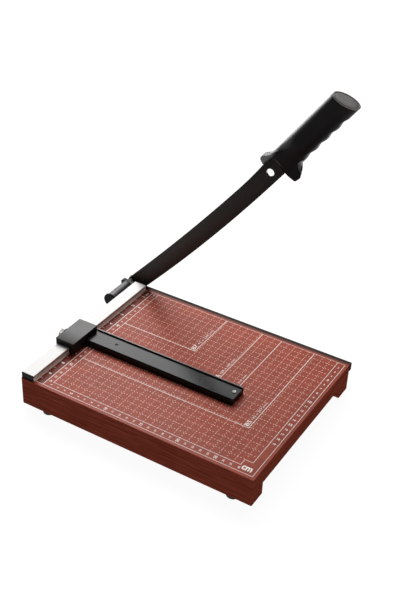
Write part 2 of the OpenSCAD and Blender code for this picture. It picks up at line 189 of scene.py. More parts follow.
def soft_edges(ob, width, segs=3, angle=30, weld=False, smooth=40):
    """rounds the sharp edges, as moulding, paint or machining does"""
    if weld:
        w = ob.modifiers.new("weld", "WELD")
        w.merge_threshold = 2e-6
        d = ob.modifiers.new("flat", "DECIMATE")
        d.decimate_type, d.angle_limit = "DISSOLVE", rad(0.8)
    if width:
        b = ob.modifiers.new("bevel", "BEVEL")
        b.width, b.segments, b.limit_method, b.angle_limit = width * 0.001, segs, "ANGLE", rad(angle)
        b.use_clamp_overlap = True
        b.miter_outer = "MITER_ARC"
    shade(ob, smooth)
    n = ob.modifiers.new("normals", "WEIGHTED_NORMAL")
    n.keep_sharp, n.weight = True, 60
    return ob


def shade(ob, angle=40):
    ob.data.shade_smooth()
    if not ob.get("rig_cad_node"):
        ob.data.set_sharp_from_angle(angle=rad(angle))


def put(ob, mat, body, replaces=()):
    ob.data.transform(ob.matrix_world)
    ob.matrix_world = Matrix.Identity(4)
    ob.data.materials.clear()
    ob.data.materials.append(mat)
    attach(ob, body)
    if replaces:
        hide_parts(*replaces)
    return ob


def paint(node, mat, width=0.25, segs=2, angle=32):
    """a better material and softened edges for a carried-over CAD node"""
    ob = nodes[node]
    ob.data.materials.clear()
    ob.data.materials.append(mat)
    if width:
        soft_edges(ob, width, segs, angle, weld=True)
    return ob


# ---------------------------------------------------------------- implicit shapes
def nets(f, lo, hi, step, project=4, eps=0.02):
    """surface of f = 0 (f < 0 inside) as a closed quad mesh, in the same units"""
    lo, hi = np.array(lo, float), np.array(hi, float)
    n = np.ceil((hi - lo) / step).astype(int) + 1
    ax = [lo[i] + step * np.arange(n[i]) for i in range(3)]
    X, Y, Z = np.meshgrid(*ax, indexing="ij")
    V = f(X, Y, Z)
    S = V < 0
    cells = tuple(n - 1)
    acc, cnt = np.zeros(cells + (3,)), np.zeros(cells)
    for axis in range(3):
        a, b = [slice(None)] * 3, [slice(None)] * 3
        a[axis], b[axis] = slice(0, -1), slice(1, None)
        va, vb = V[tuple(a)], V[tuple(b)]
        ch = (va < 0) != (vb < 0)
        t = np.where(ch, va / np.where(va == vb, 1, va - vb), 0)
        o = [i for i in range(3) if i != axis]
        for d0 in (0, 1):
            for d1 in (0, 1):
                s = [slice(None)] * 3
                s[axis] = slice(None)
                s[o[0]] = slice(d0, d0 + cells[o[0]])
                s[o[1]] = slice(d1, d1 + cells[o[1]])
                c = ch[tuple(s)]
                off = np.zeros(c.shape + (3,))
                off[..., axis] = t[tuple(s)]
                off[..., o[0]], off[..., o[1]] = d0, d1
                acc += off * c[..., None]
                cnt += c
    live = cnt > 0
    ids = np.full(cells, -1)
    ids[live] = np.arange(live.sum())
    I = np.argwhere(live)
    P = lo + step * (I + acc[live] / cnt[live][:, None])
    F = []
    for axis in range(3):
        o = [i for i in range(3) if i != axis]
        a, b = [slice(1, -1)] * 3, [slice(1, -1)] * 3
        a[axis], b[axis] = slice(0, -1), slice(1, None)
        sa, sb = S[tuple(a)], S[tuple(b)]
        E = np.argwhere(sa != sb)
        if not len(E):
            continue
        flip = sa[tuple(E.T)]
        base = E.copy()
        base[:, o[0]] += 1
        base[:, o[1]] += 1
        q = []
        for d0, d1 in ((0, 0), (1, 0), (1, 1), (0, 1)):
            c = base.copy()
            c[:, o[0]] -= 1 - d0
            c[:, o[1]] -= 1 - d1
            q.append(ids[tuple(c.T)])
        q = np.stack(q, 1)
        if axis == 1:
            flip = ~flip
        q[~flip] = q[~flip][:, ::-1]
        F.append(q)
    F = np.concatenate(F)
    for _ in range(project):
        x, y, z = P.T
        v = f(x, y, z)
        g = np.stack([f(x + eps, y, z) - f(x - eps, y, z), f(x, y + eps, z) - f(x, y - eps, z), f(x, y, z + eps) - f(x, y, z - eps)], 1) / (2 * eps)
        g2 = np.maximum((g * g).sum(1), 0.15)
        mv = g * (v / g2)[:, None]
        ln = np.linalg.norm(mv, axis=1, keepdims=True)
        P = P - mv * np.minimum(1, 0.5 * step / np.maximum(ln, 1e-9))
    return P, F


def smin(a, b, k):
    h = np.clip(0.5 + 0.5 * (b - a) / k, 0, 1)
    return b + (a - b) * h - k * h * (1 - h)


def smax(a, b, k):
    return -smin(-a, -b, k)


def poly_sdf(poly, X, Y):
    """signed distance to a polygon, negative inside"""
    shape = X.shape
    x, y = X.ravel(), Y.ravel()
    d = np.full(x.shape, 1e18)
    ins = np.zeros(x.shape, bool)
    N = len(poly)
    for i in range(N):
        (ax, ay), (bx, by) = poly[i], poly[(i + 1) % N]
        ex, ey = bx - ax, by - ay
        wx, wy = x - ax, y - ay
        t = np.clip((wx * ex + wy * ey) / (ex * ex + ey * ey + 1e-12), 0, 1)
        d = np.minimum(d, (wx - t * ex) ** 2 + (wy - t * ey) ** 2)
        if ay != by:
            c = ((ay > y) != (by > y)) & (x < (bx - ax) * (y - ay) / (by - ay) + ax)
            ins ^= c
    return np.where(ins, -np.sqrt(d), np.sqrt(d)).reshape(shape)


# ---------------------------------------------------------------- material helpers
class Mat:
    """a node material with short names for its parts"""

    def __init__(self, name, **sockets):
        self.m = bpy.data.materials.new(name)
        self.m.use_nodes = True
        self.t = self.m.node_tree
        self.t.nodes.clear()
        self.out = self.t.nodes.new("ShaderNodeOutputMaterial")
        self.b = self.t.nodes.new("ShaderNodeBsdfPrincipled")
        self.t.links.new(self.b.outputs[0], self.out.inputs["Surface"])
        tc = self.t.nodes.new("ShaderNodeTexCoord")
        self.obj = tc.outputs["Object"]
        self.set(**sockets)

    def set(self, **s):
        for k, v in s.items():
            self.b.inputs[k.replace("_", " ")].default_value = v

    def link(self, a, b):
        self.t.links.new(a, b)

    def _in(self, sock, v):
        if isinstance(v, bpy.types.NodeSocket):
            self.link(v, sock)
        elif v is not None:
            sock.default_value = v

    def math(self, op, a, b=None, c=None, clamp=False):
        n = self.t.nodes.new("ShaderNodeMath")
        n.operation, n.use_clamp = op, clamp
        self._in(n.inputs[0], a)
        self._in(n.inputs[1], b)
        self._in(n.inputs[2], c)
        return n.outputs[0]

    def scale(self, v, s, rot=(0, 0, 0), loc=(0, 0, 0)):
        n = self.t.nodes.new("ShaderNodeMapping")
        self._in(n.inputs[0], v)
        n.inputs["Scale"].default_value = s
        n.inputs["Rotation"].default_value = rot
        n.inputs["Location"].default_value = loc
        return n.outputs[0]

    def xyz(self, v=None):
        n = self.t.nodes.new("ShaderNodeSeparateXYZ")
        self._in(n.inputs[0], v or self.obj)
        return n.outputs

    def noise(self, v, scale=1.0, detail=3, rough=0.5, dist=0.0):
        n = self.t.nodes.new("ShaderNodeTexNoise")
        self._in(n.inputs["Vector"], v)
        n.inputs["Scale"].default_value = scale
        n.inputs["Detail"].default_value = detail
        n.inputs["Roughness"].default_value = rough
        n.inputs["Distortion"].default_value = dist
        return n.outputs["Fac"]

    def ramp(self, fac, *stops, ease="LINEAR"):
        n = self.t.nodes.new("ShaderNodeValToRGB")
        n.color_ramp.interpolation = ease
        self._in(n.inputs[0], fac)
        el = n.color_ramp.elements
        while len(el) < len(stops):
            el.new(0.5)
        for e, (p, c) in zip(el, stops):
            e.position = p
            e.color = tuple(c) + (1,) if len(c) == 3 else c
        return n.outputs[0]

    def mix(self, fac, a, b, mode="MIX"):
        n = self.t.nodes.new("ShaderNodeMix")
        n.data_type, n.blend_type = "RGBA", mode
        self._in(n.inputs["Factor"], fac)
        for s, v in ((n.inputs[6], a), (n.inputs[7], b)):
            if not isinstance(v, bpy.types.NodeSocket):
                v = tuple(v) + (1,) if len(v) == 3 else v
            self._in(s, v)
        return n.outputs[2]

    def map(self, v, a, b, c, d, clamp=True):
        n = self.t.nodes.new("ShaderNodeMapRange")
        n.clamp = clamp
        self._in(n.inputs[0], v)
        for i, x in enumerate((a, b, c, d)):
            n.inputs[i + 1].default_value = x
        return n.outputs[0]

    def bump(self, h, strength=0.3, dist=0.0003, normal=None):
        n = self.t.nodes.new("ShaderNodeBump")
        n.inputs["Strength"].default_value = strength
        n.inputs["Distance"].default_value = dist
        self._in(n.inputs["Height"], h)
        if normal is not None:
            self.link(normal, n.inputs["Normal"])
        return n.outputs[0]

    def edge(self, lo=0.52, hi=0.60):
        """1 on worn outer edges, from the surface's pointiness"""
        g = self.t.nodes.new("ShaderNodeNewGeometry")
        return self.map(g.outputs["Pointiness"], lo, hi, 0, 1)

    def facing(self, lo, hi, a, b):
        """a where the surface is seen straight on, b at grazing angles; for gloss only"""
        n = self.t.nodes.new("ShaderNodeLayerWeight")
        n.inputs["Blend"].default_value = 0.5
        return self.map(n.outputs["Facing"], lo, hi, a, b)

    def face_up(self, lo=0.3, hi=0.9):
        """1 on faces that look up, 0 on walls"""
        tc = [n for n in self.t.nodes if n.type == "TEX_COORD"][0]
        return self.map(self.xyz(tc.outputs["Normal"])[2], lo, hi, 0, 1)

    def to(self, name, v):
        self._in(self.b.inputs[name], v)
        return self


def mm(M, where="board"):
    """shader coordinates in millimetres: the board's u, -v, z, or along and across the raised blade"""
    F = metres(BOARD if where == "board" else BLADE).inverted()
    e, t = F.to_3x3().to_euler("XYZ"), F.translation * 1000
    return M.scale(M.obj, (1000, 1000, 1000), rot=tuple(e), loc=tuple(t))


def times(M, col, fac):
    """colour multiplied by a grey factor"""
    return M.mix(1.0, col, fac, "MULTIPLY")


def grain_metal(name, base, rough, metal=1.0, stretch=(0.02, 2.0, 2.0), wear_and_highlight=None, where="board", bump=0.12, spec=0.5):
    """steel with brushed streaks, patchy roughness and brighter worn edges"""
    M = Mat(name, Metallic=metal, Specular_IOR_Level=spec)
    p = mm(M, where)
    streak = M.noise(M.scale(p, stretch), 1.0, 4, 0.6)
    patch = M.noise(p, 0.07, 3)
    col = M.mix(M.map(streak, 0.3, 0.7, 0, 1), tuple(0.8 * c for c in base), tuple(min(1, 1.18 * c) for c in base))
    if wear_and_highlight:
        col = M.mix(M.math("MULTIPLY", M.edge(0.515, 0.58), 0.8), col, wear_and_highlight)
    M.to("Base Color", col)
    M.to("Roughness", M.math("ADD", M.map(patch, 0.3, 0.7, rough - 0.06, rough + 0.06), M.map(streak, 0.3, 0.7, -0.04, 0.04)))
    M.to("Normal", M.bump(streak, bump, 0.00005))
    return M.m


def moulded(name, base, rough, spec=0.5, scale=2.2, bump=0.15, wear_and_highlight=None, where="board", dust=0.25, depth=0.00006):
    """moulded plastic or paint: fine texture, slight clouding, lighter rubbed edges"""
    M = Mat(name, Specular_IOR_Level=spec)
    p = mm(M, where)
    fine = M.noise(p, scale, 4, 0.6)
    cloud = M.noise(p, 0.05, 3)
    col = M.mix(M.map(cloud, 0.3, 0.7, 0, 1), tuple((1 - dust) * c for c in base), tuple((1 + dust) * c for c in base))
    if wear_and_highlight:
        col = M.mix(M.math("MULTIPLY", M.edge(0.52, 0.6), 0.7), col, wear_and_highlight)
    M.to("Base Color", col)
    M.to("Roughness", M.math("ADD", M.map(cloud, 0.3, 0.7, rough - 0.05, rough + 0.05), M.map(fine, 0.3, 0.7, -0.03, 0.03)))
    M.to("Normal", M.bump(fine, bump, depth))
    return M.m


# ---------------------------------------------------------------- materials
def board_material():
    """printed mahogany face above, darker lacquered grain on the walls, their darkness partly the wood's own stain and
    partly painted shade; a painted highlight on the rounded top edges
    """
    M = Mat("board_lacquer")
    p = mm(M)
    u, w, z = M.xyz(p)
    tc = [n for n in M.t.nodes if n.type == "TEX_COORD"][0]
    nz = M.xyz(tc.outputs["Normal"])[2]
    top = M.map(nz, 0.55, 0.95, 0, 1)
    # face: fine streaks along the board with a soft mottle
    streak = M.noise(M.scale(p, (0.045, 0.9, 0.9)), 1.0, 5, 0.62, 0.4)
    fleck = M.noise(M.scale(p, (0.16, 1.1, 1.0)), 1.0, 4, 0.7)
    speck = M.noise(M.scale(p, (0.42, 0.75, 1.0)), 1.0, 2, 0.8)
    mottle = M.noise(p, 0.018, 3, 0.5)
    face = M.ramp(streak, (0.28, (0.222, 0.033, 0.017)), (0.5, (0.318, 0.054, 0.029)), (0.74, (0.410, 0.078, 0.044)))
    face = times(M, face, M.ramp(fleck, (0.30, (0.64, 0.56, 0.54)), (0.66, (1.26, 1.30, 1.32))))
    face = times(M, face, M.ramp(speck, (0.30, (0.80, 0.72, 0.70)), (0.68, (1.20, 1.34, 1.34))))
    face = times(M, face, M.ramp(mottle, (0.3, (0.90, 0.88, 0.88)), (0.7, (1.08, 1.10, 1.10))))
    band = M.math("MULTIPLY", M.math("GREATER_THAN", u, 0.1), M.math("LESS_THAN", u, 10.65))
    band = M.math("MULTIPLY", band, M.math("MULTIPLY", M.math("GREATER_THAN", w, -250.2), M.math("LESS_THAN", w, -10.4)))
    face = M.mix(band, face, times(M, face, (0.52, 0.40, 0.38)))
    face = times(M, face, M.ramp(M.map(u, 280, 300, 0, 1), (0.0, (1, 1, 1)), (1.0, (0.84, 0.80, 0.78))))
    face = M.mix(M.map(w, -9.0, -6.4, 0, 1), face, times(M, face, (0.38, 0.64, 0.70)))
    # walls: darker lacquered grain, partly the wood's own stain and partly painted shade
    ws = M.noise(M.scale(p, (0.020, 0.020, 0.55)), 1.0, 5, 0.6, 0.6)
    wf = M.noise(M.scale(p, (0.06, 0.06, 2.4)), 1.0, 3, 0.6)
    wall = M.ramp(ws, (0.30, (0.098, 0.0170, 0.0090)), (0.5, (0.168, 0.0325, 0.0185)), (0.72, (0.250, 0.0560, 0.0340)))
    wall = times(M, wall, M.ramp(wf, (0.32, (0.82, 0.80, 0.80)), (0.62, (1.08, 1.08, 1.08))))
    col = M.mix(top, wall, face)
    # rounded top edges painted lighter as a highlight, except along the rear edge by the knife
    wear_and_highlight = M.ramp(nz, (0.12, (0, 0, 0)), (0.45, (1, 1, 1)), (0.86, (1, 1, 1)), (0.97, (0, 0, 0)))
    wear_and_highlight = M.math("MULTIPLY", M.xyz(wear_and_highlight)[0], M.math("LESS_THAN", w, -4.0))
    col = M.mix(M.math("MULTIPLY", wear_and_highlight, 0.45), col, (0.40, 0.135, 0.090))
    M.to("Specular IOR Level", M.map(top, 0, 1, 0.0, 0.11))
    M.to("Base Color", col)
    M.to("Roughness", M.math("ADD", M.map(mottle, 0.3, 0.7, 0.40, 0.46), M.map(fleck, 0.3, 0.7, -0.03, 0.03)))
    h = M.math("ADD", M.math("MULTIPLY", streak, 0.6), M.math("MULTIPLY", wf, 0.4))
    M.to("Normal", M.bump(h, 0.10, 0.0001))
    return M.m


def underside_material():
    """bare fibreboard of the hidden faces is the same lacquered wood, duller"""
    M = Mat("board_wood", Specular_IOR_Level=0.0)
    p = mm(M)
    ws = M.noise(M.scale(p, (0.020, 0.020, 0.55)), 1.0, 5, 0.6, 0.6)
    wf = M.noise(M.scale(p, (0.06, 0.06, 2.4)), 1.0, 3, 0.6)
    # the board's darker wall colour: partly the wood's own stain, partly painted shade
    wall = M.ramp(ws, (0.30, (0.098, 0.0170, 0.0090)), (0.5, (0.168, 0.0325, 0.0185)), (0.72, (0.250, 0.0560, 0.0340)))
    wall = times(M, wall, M.ramp(wf, (0.32, (0.82, 0.80, 0.80)), (0.62, (1.08, 1.08, 1.08))))
    M.to("Base Color", wall)
    M.to("Roughness", M.map(ws, 0.3, 0.7, 0.42, 0.54))
    M.to("Normal", M.bump(wf, 0.12, 0.0001))
    return M.m


def ink_material(name, col, amount):
    M = Mat(name, Specular_IOR_Level=0.25)
    p = mm(M)
    n = M.noise(p, 1.1, 3, 0.6)
    M.to("Base Color", M.mix(M.map(n, 0.25, 0.75, 0, 1), tuple(c * amount for c in col), col))
    M.to("Roughness", M.map(n, 0.3, 0.7, 0.48, 0.58))
    M.to("Normal", M.bump(n, 0.08, 0.00002))
    return M.m


def white_paint():
    M = Mat("rail_enamel", Specular_IOR_Level=0.25)
    p = mm(M)
    fine = M.noise(p, 1.6, 3, 0.6)
    cloud = M.noise(M.scale(p, (0.3, 0.02, 0.3)), 1.0, 4, 0.55)
    scuff = M.noise(M.scale(p, (1.6, 0.09, 1.0)), 1.0, 5, 0.7, 0.8)
    col = M.mix(M.map(cloud, 0.3, 0.7, 0, 1), (0.71, 0.695, 0.675), (0.78, 0.77, 0.755))
    col = M.mix(M.map(scuff, 0.66, 0.80, 0, 0.35), col, (0.52, 0.505, 0.48))
    # walls only: a warm painted reflection of the red board, painted lighter below z 4 and darker above it as painted
    # shade; the top keeps the enamel's own colour
    lower_board_reflection = M.map(M.math("ADD", M.xyz(p)[2], M.math("MULTIPLY", cloud, 1.2)), 4.0, 4.8, 1, 0)
    side = times(M, col, M.mix(lower_board_reflection, (0.80, 0.66, 0.60), (1.75, 1.52, 1.42)))
    M.to("Base Color", M.mix(M.face_up(), side, col))
    M.to("Roughness", M.map(cloud, 0.3, 0.7, 0.30, 0.40))
    M.to("Normal", M.bump(fine, 0.10, 0.00003))
    return M.m


def blade_material():
    """blackened steel, ground along its length, lighter and browner towards the pivot as a painted reflection of the
    red board
    """
    M = Mat("blade_black", Specular_IOR_Level=0.12)
    p = mm(M, "blade")
    x, y, z = M.xyz(p)
    streak = M.noise(M.scale(p, (0.02, 1.3, 1.3)), 1.0, 4, 0.6)
    patch = M.noise(p, 0.06, 3)
    # painted reflection of the red board: lighter and browner near the pivot, fading along the blade
    board_reflection_fade = M.map(x, 40, 330, 0, 1)
    lo = M.mix(board_reflection_fade, (0.0370, 0.0262, 0.0228), (0.0052, 0.0038, 0.0028))
    hi = M.mix(board_reflection_fade, (0.0540, 0.0385, 0.0338), (0.0085, 0.0062, 0.0046))
    col = M.mix(M.map(streak, 0.3, 0.7, 0, 1), lo, hi)
    col = M.mix(M.math("MULTIPLY", M.edge(0.515, 0.58), 0.6), col, (0.045, 0.040, 0.037))
    M.to("Base Color", col)
    M.to("Specular IOR Level", M.map(x, 180, 320, 0.13, 0.07))
    M.to("Roughness", M.math("ADD", M.map(patch, 0.3, 0.7, 0.42, 0.52), M.map(streak, 0.3, 0.7, -0.03, 0.03)))
    M.to("Normal", M.bump(streak, 0.05, 0.00004))
    return M.m


def arm_material():
    """painted channel, its gloss fading along its length; the raised rib painted pale as a highlight, the walls
    painted lighter and greener than the top to offset their shade and the board's red bounce light
    """
    M = Mat("arm_enamel")
    p = mm(M)
    u, w, z = M.xyz(p)
    fine = M.noise(p, 1.2, 4, 0.6)
    cloud = M.noise(p, 0.05, 3)
    sheen_vary = M.noise(M.scale(p, (0.06, 1.0, 1.0)), 1.0, 4, 0.6)
    col = M.mix(M.map(cloud, 0.3, 0.7, 0, 1), (0.0034, 0.0028, 0.0024), (0.0054, 0.0046, 0.0040))
    # painted highlight on the rib: grey above z 9.2, pale and patchy on its top; walls painted lighter and greener
    # than the top against their shade and the board's red bounce light
    rib_highlight = M.math("MULTIPLY", M.map(z, 10.15, 10.4, 0, 1), M.map(sheen_vary, 0.3, 0.6, 0.65, 1.0))
    wall = M.map(z, 8.7, 9.2, 0, 1)
    col = M.mix(M.face_up(), M.mix(M.map(cloud, 0.3, 0.7, 0, 1), (0.0100, 0.0140, 0.0125), (0.0130, 0.0175, 0.0155)), col)
    col = M.mix(wall, col, (0.13, 0.108, 0.102))
    col = M.mix(rib_highlight, col, (0.20, 0.165, 0.160))
    M.to("Base Color", col)
    sheen_vary = M.map(u, 40, 200, 0.165, 0.100)
    M.to("Specular IOR Level", M.math("MAXIMUM", M.map(M.face_up(), 0, 1, 0.10, 0.0), sheen_vary))
    M.to("Roughness", M.math("ADD", M.map(cloud, 0.3, 0.7, 0.19, 0.25), M.map(fine, 0.3, 0.7, -0.02, 0.02)))
    M.to("Normal", M.bump(fine, 0.10, 0.00005))
    return M.m


def handle_material():
    """dark moulded grip with a sheen that shows at grazing angles, and a painted highlight on the upper guard lobe"""
    M = Mat("handle_plastic")
    p = mm(M, "blade")
    fine = M.noise(p, 1.8, 4, 0.6)
    cloud = M.noise(p, 0.05, 3)
    col = M.mix(M.map(cloud, 0.3, 0.7, 0, 1), (0.0034, 0.0028, 0.0024), (0.0056, 0.0047, 0.0041))
    x, y, z = M.xyz(p)
    lobe_highlight = M.math("MULTIPLY", M.map(y, 17.5, 20.5, 0, 1), M.map(x, 336, 346, 1, 0))
    seam = M.math("MULTIPLY", M.map(x, 337.0, 338.5, 1, 0), M.map(y, 16.5, 17.5, 1, 0))
    # painted highlight: the upper guard lobe lighter on its top
    col = M.mix(M.math("MULTIPLY", lobe_highlight, 0.8), col, (0.035, 0.032, 0.030))
    M.to("Base Color", col)
    ca, sa = math.cos(rad(GRIP_ANG)), math.sin(rad(GRIP_ANG))
    t = M.math("ADD", M.math("MULTIPLY", x, ca), M.math("MULTIPLY", y, sa))
    h = M.math("SUBTRACT", M.math("MULTIPLY", y, ca), M.math("MULTIPLY", x, sa))
    where = M.math("MULTIPLY", M.map(h, -30.0, -19.0, 0.35, 1.0), M.map(t, 385, 450, 1.0, 0.55))
    gloss = M.math("MAXIMUM", M.math("MULTIPLY", M.facing(0.30, 0.82, 0.06, 1.25), where), M.math("MULTIPLY", lobe_highlight, 1.1))
    gloss = M.math("MAXIMUM", gloss, M.map(t, 350, 450, 0.060, 0.075))
    M.to("Specular IOR Level", M.math("MULTIPLY", gloss, M.map(seam, 0, 1, 1.0, 0.25)))
    M.to("Roughness", M.math("ADD", M.map(cloud, 0.3, 0.7, 0.30, 0.38), M.map(lobe_highlight, 0, 1, 0.0, 0.12)))
    M.to("Normal", M.bump(fine, 0.05, 0.00004))
    return M.m


def slider_material():
    """moulded slider: fine texture, duller towards the user's end"""
    M = Mat("slider_plastic")
    p = mm(M)
    u, w, z = M.xyz(p)
    fine = M.noise(p, 1.5, 4, 0.6)
    cloud = M.noise(p, 0.05, 3)
    col = M.mix(M.map(cloud, 0.3, 0.7, 0, 1), (0.0065, 0.0060, 0.0055), (0.0105, 0.0098, 0.0090))
    col = M.mix(M.math("MULTIPLY", M.edge(0.52, 0.6), 0.7), col, (0.06, 0.055, 0.05))
    M.to("Base Color", col)
    M.to("Specular IOR Level", M.map(M.face_up(), 0, 1, 0.10, 0.21))
    M.to("Roughness", M.math("ADD", M.map(w, -160, -182, 0.30, 0.60), M.map(cloud, 0.3, 0.7, -0.03, 0.03)))
    M.to("Normal", M.bump(fine, 0.18, 0.00005))
    return M.m


mats = {
    "board": board_material(),
    "wood": underside_material(),
    "ink": ink_material("print_ink", (0.97, 0.88, 0.83), 0.90),
    "grid": ink_material("grid_ink", (0.90, 0.56, 0.46), 0.86),
    "rail": white_paint(),
    "knife": grain_metal("knife_steel", (0.021, 0.013, 0.011), 0.52, 0.0, (0.012, 3.0, 3.0), (0.050, 0.040, 0.037), spec=0.004),
    "blade": blade_material(),
    "edge": grain_metal("blade_edge", (0.50, 0.49, 0.47), 0.30, 1.0, (2.0, 0.05, 1.0), where="blade"),
    "bracket": moulded("bracket_enamel", (0.010, 0.009, 0.008), 0.42, 0.10, 1.4, 0.08, (0.05, 0.045, 0.04)),
    "housing": moulded("housing_enamel", (0.014, 0.0125, 0.011), 0.36, 0.40, 1.4, 0.04, (0.06, 0.055, 0.05)),
    "black": moulded("black_plastic", (0.007, 0.0065, 0.006), 0.42, 0.07, 2.0, 0.10, (0.03, 0.03, 0.03)),
    "slider": slider_material(),
    "arm": arm_material(),
    "handle": handle_material(),
    "cap": moulded("cap_plastic", (0.128, 0.118, 0.114), 0.45, 0.3, 1.8, 0.2, (0.16, 0.15, 0.14), where="blade"),
    "rubber": moulded("foot_rubber", (0.016, 0.016, 0.016), 0.72, 0.25, 1.2, 0.35),
    "screw": grain_metal("zinc_screw", (0.50, 0.49, 0.46), 0.32, 1.0, (0.8, 0.8, 0.8), (0.75, 0.74, 0.71)),
    "bolt": grain_metal("bolt_steel", (0.34, 0.33, 0.32), 0.34, 1.0, (0.6, 0.6, 0.6), (0.6, 0.6, 0.58)),
    "pin": grain_metal("dull_screw", (0.22, 0.215, 0.21), 0.30, 1.0, (0.8, 0.8, 0.8)),
    "chrome": grain_metal("bright_chrome", (0.74, 0.73, 0.71), 0.50, 0.45, (0.5, 0.5, 0.5), (0.80, 0.79, 0.77), bump=0.05),
    "spring": grain_metal("spring_wire", (0.46, 0.46, 0.45), 0.30, 1.0, (0.7, 0.7, 0.7)),
    "pad": moulded("glide_felt", (0.42, 0.40, 0.36), 0.85, 0.2, 2.5, 0.5),
}

# ---------------------------------------------------------------- base: wood
ID = Matrix.Identity(4)


def clean_copy(node, name):
    """the node's own shape as a new mesh, welded and with its flat faces whole"""
    me = nodes[node].data.copy()
    me.name = name
    ob = bpy.data.objects.new(name, me)
    scene.collection.objects.link(ob)
    bm = bmesh.new()
    bm.from_mesh(me)
    bmesh.ops.remove_doubles(bm, verts=bm.verts, dist=2e-6)
    bmesh.ops.dissolve_limit(bm, angle_limit=rad(0.8), verts=bm.verts, edges=bm.edges)
    bm.to_mesh(me)
    bm.free()
    return ob


def round_some(ob, width, segs, pick, profile=0.5):
    """rounds the edges for which pick(a, b) holds, points in row millimetres"""
    bm = bmesh.new()
    bm.from_mesh(ob.data)
    es = [e for e in bm.edges if len(e.link_faces) == 2 and e.calc_face_angle(0) > rad(25)
          and pick(e.verts[0].co * 1000, e.verts[1].co * 1000)]
    bmesh.ops.bevel(bm, geom=es, offset=width * 0.001, segments=segs, profile=profile, affect="EDGES", clamp_overlap=True)
    bmesh.ops.recalc_face_normals(bm, faces=bm.faces)
    bm.to_mesh(ob.data)
    bm.free()
    return ob


def finish_wood(ob):
    ob.data.shade_smooth()
    ob.data.set_sharp_from_angle(angle=rad(50))
    n = ob.modifiers.new("normals", "WEIGHTED_NORMAL")
    n.keep_sharp, n.weight = True, 70


board = clean_copy("base_panel", "base_board")
round_some(board, 1.1, 4, lambda a, b: a.z > 44.9 and b.z > 44.9)
finish_wood(board)
put(board, mats["board"], "base", ["base_panel"])
for side in ("front", "rear"):
    r = clean_copy(side + "_runner", side + "_foot_rail")
    round_some(r, 0.9, 3, lambda a, b: abs(a.z - 6.5) < 0.1 and abs(b.z - 6.5) < 0.1 and min(a.y, b.y) > -1e9
               and (abs(a.y - b.y) > 20 or abs(a.x - b.x) > 200))
    finish_wood(r)
    put(r, mats["wood"], "base", [side + "_runner"])


# ---------------------------------------------------------------- base: print
class Ink:
    """thin closed shapes printed on the board, in board millimetres (u, v)"""

    def __init__(self, z0=-0.02, z1=0.03):
        self.v, self.f, self.z0, self.z1 = [], [], z0, z1

    def bar(self, u0, u1, v0, v1, up=0.0):
        k = len(self.v)
        for z in (self.z0, self.z1 + up):
            self.v += [(u0, -v1, z), (u1, -v1, z), (u1, -v0, z), (u0, -v0, z)]
        self.f += [[k + 3, k + 2, k + 1, k], [k + 4, k + 5, k + 6, k + 7]]
        self.f += [[k + i, k + (i + 1) % 4, k + 4 + (i + 1) % 4, k + 4 + i] for i in range(4)]

    def along_u(self, v, u0, u1, t, up=0.0):
        self.bar(u0, u1, v - t / 2, v + t / 2, up)

    def along_v(self, u, v0, v1, t, up=0.006):
        self.bar(u - t / 2, u + t / 2, v0, v1, up)

    def word(self, s, u, v, height, turned=True, bold=0.0, squeeze=1.0, length=None):
        """text centred at u, v; turned reads away from the front with its top to the left"""
        cu = bpy.data.curves.new("t", "FONT")
        cu.body, cu.size, cu.extrude, cu.offset = s, 1.0, 0.02, bold
        cu.resolution_u = 3
        ob = bpy.data.objects.new("t", cu)
        scene.collection.objects.link(ob)
        bpy.context.view_layer.update()
        me = bpy.data.meshes.new_from_object(ob.evaluated_get(bpy.context.evaluated_depsgraph_get()))
        P = np.array([tuple(q.co) for q in me.vertices])
        lo, hi = P.min(0), P.max(0)
        k = height / (hi[1] - lo[1])
        kx = k * squeeze if length is None else length / (hi[0] - lo[0])
        x, y = (P[:, 0] - (lo[0] + hi[0]) / 2) * kx, (P[:, 1] - (lo[1] + hi[1]) / 2) * k
        z = np.where(P[:, 2] > 0, self.z1, self.z0)
        uu, yy = (u - y, -v + x) if turned else (u + x, -v + y)
        b = len(self.v)
        self.v += list(zip(uu, yy, z))
        self.f += [[b + i for i in p.vertices] for p in me.polygons]
        bpy.data.objects.remove(ob)
        bpy.data.curves.remove(cu)
        bpy.data.meshes.remove(me)

    def make(self, name, mat):
        ob = obj_from(name, self.v, self.f, BOARD)
        bm = bmesh.new()
        bm.from_mesh(ob.data)
        bmesh.ops.remove_doubles(bm, verts=bm.verts, dist=1.5e-6)
        bm.to_mesh(ob.data)
        bm.free()
        put(ob, mat, "base")
        return ob


ink = Ink()
T = 0.52
ink.along_v(-0.35, 10.4, 250.2, 0.9)
ink.along_v(10.65, 10.4, 250.2, 0.75)
ink.along_v(19.6, 10.4, 240.2, T)
ink.along_u(10.4, 5.0, 299.85, 0.36)
ink.along_u(240.2, 19.6, 279.5, T)
ink.along_u(250.2, -0.8, 299.85, T)
ink.along_v(289.9, 10.4, 230.5, T)
ink.along_v(299.85, 10.4, 250.2, T)
ink.along_v(279.5, 230.5, 240.2, T)
ink.along_u(230.5, 279.5, 289.9, T)
for k in range(1, 10):                       # inches
    ink.word(str(k), 5.2, 25.4 * k, 4.3, bold=0.035)
    ink.along_u(25.4 * k, 0.1, 1.9, 0.40, 0.003)
    ink.along_u(25.4 * k - 12.7, 0.1, 3.4, 0.40, 0.003)
ink.along_u(241.3, 0.1, 3.4, 0.40, 0.003)
ink.word("inch", 6.0, 17.6, 2.9, bold=0.02)
ink.word("cm", 15.2, 14.6, 1.9, bold=0.01)
for k in range(2, 25):                       # centimetres, left
    big = k % 5 == 0
    ink.word(str(k), 15.0, 10 * k, 4.0 if big else 2.7, bold=0.022 if big else 0.018)
    for u0, u1 in ((10.9, 12.1), (18.4, 19.5)):
        ink.along_u(10 * k, u0, u1, 0.34, 0.003)
